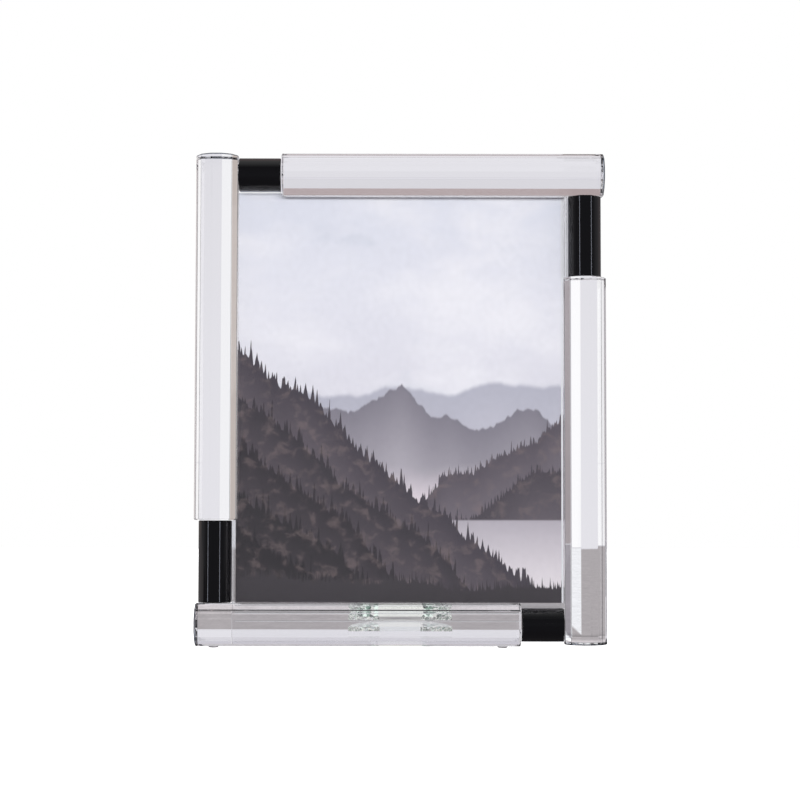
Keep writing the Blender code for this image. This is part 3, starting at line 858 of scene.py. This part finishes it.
def build_room():
    """Light from all round, which depends on direction and on the kind of ray that meets it."""
    world = bpy.data.worlds.new("room")
    bpy.context.scene.world = world
    world.use_nodes = True
    world.cycles.sampling_method = "NONE"
    tree = world.node_tree
    ray = add_node(tree, "ShaderNodeLightPath")
    place = add_node(tree, "ShaderNodeTexCoord")
    apart = add_node(tree, "ShaderNodeSeparateXYZ", inputs={"Vector": place.outputs["Generated"]})
    front = add_node(tree, "ShaderNodeMapRange", inputs={
        "Value": ray.outputs["Is Transmission Ray"], "To Min": FRONT_IN_REFLECTIONS,
        "To Max": FRONT_THROUGH_GLASS})
    sides = add_node(tree, "ShaderNodeMapRange", inputs={
        "Value": ray.outputs["Is Transmission Ray"], "To Min": SIDES_IN_REFLECTIONS,
        "To Max": SIDES_THROUGH_GLASS})
    level = add_node(tree, "ShaderNodeMapRange", inputs={
        "Value": apart.outputs["Y"], "From Min": FRONT_TO_SIDES[0], "From Max": FRONT_TO_SIDES[1],
        "To Min": front.outputs["Result"], "To Max": sides.outputs["Result"]})
    room = add_node(tree, "ShaderNodeBackground", inputs={
        "Color": tones_along(tree, apart.outputs["Z"], ROOM_UPWARDS), "Strength": level.outputs["Result"]})
    even = add_node(tree, "ShaderNodeBackground", inputs={"Color": colour("ffffff"), "Strength": EVEN_LIGHT})
    gathered = add_node(tree, "ShaderNodeMixShader", inputs={
        0: ray.outputs["Is Diffuse Ray"], 1: room.outputs[0], 2: even.outputs[0]})
    white = add_node(tree, "ShaderNodeBackground", inputs={"Color": colour("ffffff"), "Strength": 1.0})
    seen = add_node(tree, "ShaderNodeMixShader", inputs={
        0: ray.outputs["Is Camera Ray"], 1: gathered.outputs[0], 2: white.outputs[0]})
    tree.links.new(seen.outputs[0], tree.nodes["World Output"].inputs["Surface"])


build_room()
print("even light on paper:", EVEN_LIGHT)

# %% [markdown]
# Two soft lamps stand well in front, close to the middle and little higher than the frame, so that
# the blocks throw only a narrow shade on the print, and a third lights the back. They are hidden
# from the camera, glass and reflections, where the room does that work. Each lamp has a place and a
# size in metres and a power in watts.
# %% Lamps
LAMPS = (("left_lamp", (-0.24, -1.75, 0.37), (0.6, 0.24), 12.8),
         ("right_lamp", (0.24, -1.75, 0.37), (0.6, 0.24), 12.2),
         ("back_lamp", (0.35, 1.55, 0.60), (0.8, 0.8), 18))


def add_soft_lamp(name, place, aim, size, power):
    """A rectangular lamp that shines from its place at a point, and isn't seen itself."""
    lamp = bpy.data.lights.new(name, "AREA")
    lamp.shape = "RECTANGLE"
    lamp.size, lamp.size_y = size
    lamp.energy = power
    made = bpy.data.objects.new(name, lamp)
    made.location = place
    made.rotation_euler = (Vector(aim) - Vector(place)).to_track_quat("-Z", "Y").to_euler()
    made.visible_camera = False
    made.visible_glossy = False
    made.visible_transmission = False
    bpy.context.scene.collection.objects.link(made)


frame_middle = (cad_box[0] + cad_box[1]) / 2
for name, place, size, power in LAMPS:
    add_soft_lamp(name, place, frame_middle, size, power)
print("lamps:", len(LAMPS))

# %% [markdown]
# ## Camera
# The camera stands about 1.2 m in front of the frame, just above its middle, and looks down on it
# by less than a degree. Its place was found by matching the ends of the bars to the photograph. A
# tenth of a degree of roll levels the frame as it stood there.
# %% Camera
CAMERA_PLACE = Vector((-0.0014, -1.2180, 0.1677))
LOOKS_DOWN = math.radians(0.81)
CAMERA_ROLL = math.radians(-0.10)
CAMERA_TURN = math.radians(-0.05)
FOCAL_PIXELS = 1970
IMAGE_PIXELS = 800
SENSOR_WIDTH = 36


def place_camera():
    """A camera with the photograph's own field of view."""
    camera = bpy.data.cameras.new("camera")
    camera.sensor_width = SENSOR_WIDTH
    camera.lens = FOCAL_PIXELS / IMAGE_PIXELS * SENSOR_WIDTH
    made = bpy.data.objects.new("camera", camera)
    made.location = CAMERA_PLACE
    made.rotation_euler = (math.radians(90) - LOOKS_DOWN, CAMERA_ROLL, CAMERA_TURN)
    bpy.context.scene.collection.objects.link(made)
    bpy.context.scene.camera = made


place_camera()
print("lens, mm:", round(bpy.context.scene.camera.data.lens, 1))

# %% [markdown]
# ## Last things
# Clear glass needs many bounces, since a ray through the bottom corner crosses a dozen surfaces.
# The colours are shown plainly, and the frame's box from loading is kept.
# %% Render settings
GLASS_BOUNCES = 24
MIRROR_BOUNCES = 12
scene = bpy.context.scene
scene.view_settings.view_transform = "Standard"
scene.cycles.max_bounces = GLASS_BOUNCES
scene.cycles.transmission_bounces = GLASS_BOUNCES
scene.cycles.glossy_bounces = MIRROR_BOUNCES
